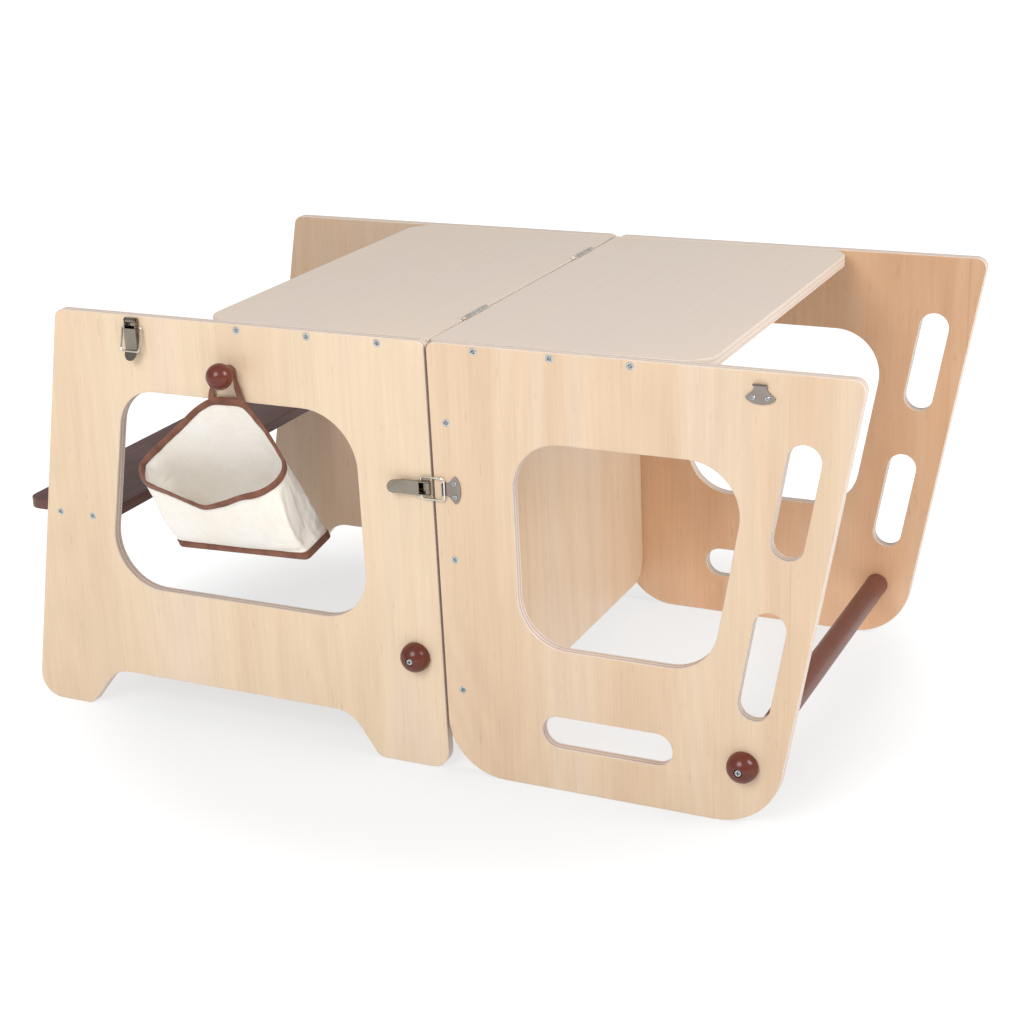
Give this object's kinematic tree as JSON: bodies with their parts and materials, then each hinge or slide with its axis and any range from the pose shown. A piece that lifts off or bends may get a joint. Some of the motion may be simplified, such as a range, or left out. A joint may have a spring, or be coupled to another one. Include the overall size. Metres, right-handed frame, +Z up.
{
  "type": "convertible learning tower",
  "caption": "Folding plywood play frame: a low table with windows and hand slots that swings over its top hinges into a standing tower, with toggle latches, a step, a rail and a cloth bag.",
  "frame": {"origin": "on the floor, under the middle of the bounding box", "axes": "+X along the table from the footed frame to the frame with the hand slots, +Y from the side with the bag to the far side, +Z up"},
  "size_m": [0.9288, 0.5742, 0.4533],
  "materials": {
    "birch_panel": "pale birch plywood, clear satin lacquer, ply lines on the edges",
    "table_board": "smooth beige board, satin",
    "brown_wood": "dark reddish brown paint, semi-gloss",
    "latch_steel": "nickel-plated pressed steel",
    "latch_wire": "bright nickel-plated wire",
    "zinc_screws": "bright zinc plate",
    "canvas": "cream cotton canvas, plain weave",
    "brown_tape": "brown cotton binding tape"
  },
  "bodies": {
    "lower_frame": {"lower_front_panel": "birch_panel", "lower_rear_panel": "birch_panel", "lower_top_board": "table_board", "step_board": "brown_wood", "lower_stretcher_rod": "brown_wood", "stretcher_front_knob": "brown_wood", "stretcher_front_knob_screw": "zinc_screws", "stretcher_rear_knob": "brown_wood", "stretcher_rear_knob_screw": "zinc_screws", "bag_peg": "brown_wood", "bag_peg_screw": "zinc_screws", "front_hinge_lower_leaf": "latch_steel", "front_hinge_pin": "latch_steel", "rear_hinge_lower_leaf": "latch_steel", "rear_hinge_pin": "latch_steel", "front_side_latch_base": "latch_steel", "front_side_latch_pin": "latch_steel", "rear_side_latch_base": "latch_steel", "rear_side_latch_pin": "latch_steel", "front_top_latch_base": "latch_steel", "front_top_latch_pin": "latch_steel", "rear_top_latch_base": "latch_steel", "rear_top_latch_pin": "latch_steel"},
    "upper_frame": {"upper_front_panel": "birch_panel", "upper_rear_panel": "birch_panel", "upper_top_board": "table_board", "divider_panel": "birch_panel", "safety_rod": "brown_wood", "safety_rod_front_knob": "brown_wood", "safety_rod_front_knob_screw": "zinc_screws", "safety_rod_rear_knob": "brown_wood", "safety_rod_rear_knob_screw": "zinc_screws", "front_hinge_upper_leaf": "latch_steel", "rear_hinge_upper_leaf": "latch_steel", "front_side_keeper": "latch_steel", "rear_side_keeper": "latch_steel", "front_top_keeper": "latch_steel", "rear_top_keeper": "latch_steel"},
    "bag": {"bag_body": "canvas", "bag_loop": "brown_tape"},
    "front_side_lever": {"front_side_latch_lever": "latch_steel"},
    "front_side_bail": {"front_side_latch_bail": "latch_wire"},
    "rear_side_lever": {"rear_side_latch_lever": "latch_steel"},
    "rear_side_bail": {"rear_side_latch_bail": "latch_wire"},
    "front_top_lever": {"front_top_latch_lever": "latch_steel"},
    "front_top_bail": {"front_top_latch_bail": "latch_wire"},
    "rear_top_lever": {"rear_top_latch_lever": "latch_steel"},
    "rear_top_bail": {"rear_top_latch_bail": "latch_wire"}
  },
  "joints": [
    {"name": "fold", "type": "hinge", "parent": "lower_frame", "child": "upper_frame", "pos_m": [0.0397, 0.0218, 0.4503], "axis": [0, -1, 0], "range_deg": [0, 180]},
    {"name": "bag_swing", "type": "hinge", "parent": "lower_frame", "child": "bag", "pos_m": [-0.1793, -0.2302, 0.4015], "axis": [0, 1, 0], "range_deg": [-15, 15]},
    {"name": "front_side_lever_hinge", "type": "hinge", "parent": "lower_frame", "child": "front_side_lever", "pos_m": [0.0374, -0.2293, 0.3045], "axis": [0, 0, 1], "range_deg": [0, 140]},
    {"name": "front_side_bail_hinge", "type": "hinge", "parent": "front_side_lever", "child": "front_side_bail", "pos_m": [0.0304, -0.2291, 0.3045], "axis": [0, 0, 1], "range_deg": [-161.5, 0]},
    {"name": "rear_side_lever_hinge", "type": "hinge", "parent": "lower_frame", "child": "rear_side_lever", "pos_m": [0.0374, 0.2729, 0.3045], "axis": [0, 0, -1], "range_deg": [0, 140]},
    {"name": "rear_side_bail_hinge", "type": "hinge", "parent": "rear_side_lever", "child": "rear_side_bail", "pos_m": [0.0304, 0.2727, 0.3045], "axis": [0, 0, -1], "range_deg": [-161.5, 0]},
    {"name": "front_top_lever_hinge", "type": "hinge", "parent": "lower_frame", "child": "front_top_lever", "pos_m": [-0.2913, -0.2293, 0.446], "axis": [-1, 0, 0], "range_deg": [0, 140]},
    {"name": "front_top_bail_hinge", "type": "hinge", "parent": "front_top_lever", "child": "front_top_bail", "pos_m": [-0.2913, -0.2291, 0.439], "axis": [1, 0, 0], "range_deg": [-164.5, 0]},
    {"name": "rear_top_lever_hinge", "type": "hinge", "parent": "lower_frame", "child": "rear_top_lever", "pos_m": [-0.2913, 0.2729, 0.446], "axis": [1, 0, 0], "range_deg": [0, 140]},
    {"name": "rear_top_bail_hinge", "type": "hinge", "parent": "rear_top_lever", "child": "rear_top_bail", "pos_m": [-0.2913, 0.2727, 0.439], "axis": [-1, 0, 0], "range_deg": [-164.5, 0]}
  ],
  "couplings": [
    {"joint": "front_side_bail_hinge", "follows": "front_side_lever_hinge", "ratio": -1.15},
    {"joint": "rear_side_bail_hinge", "follows": "rear_side_lever_hinge", "ratio": -1.15}
  ]
}
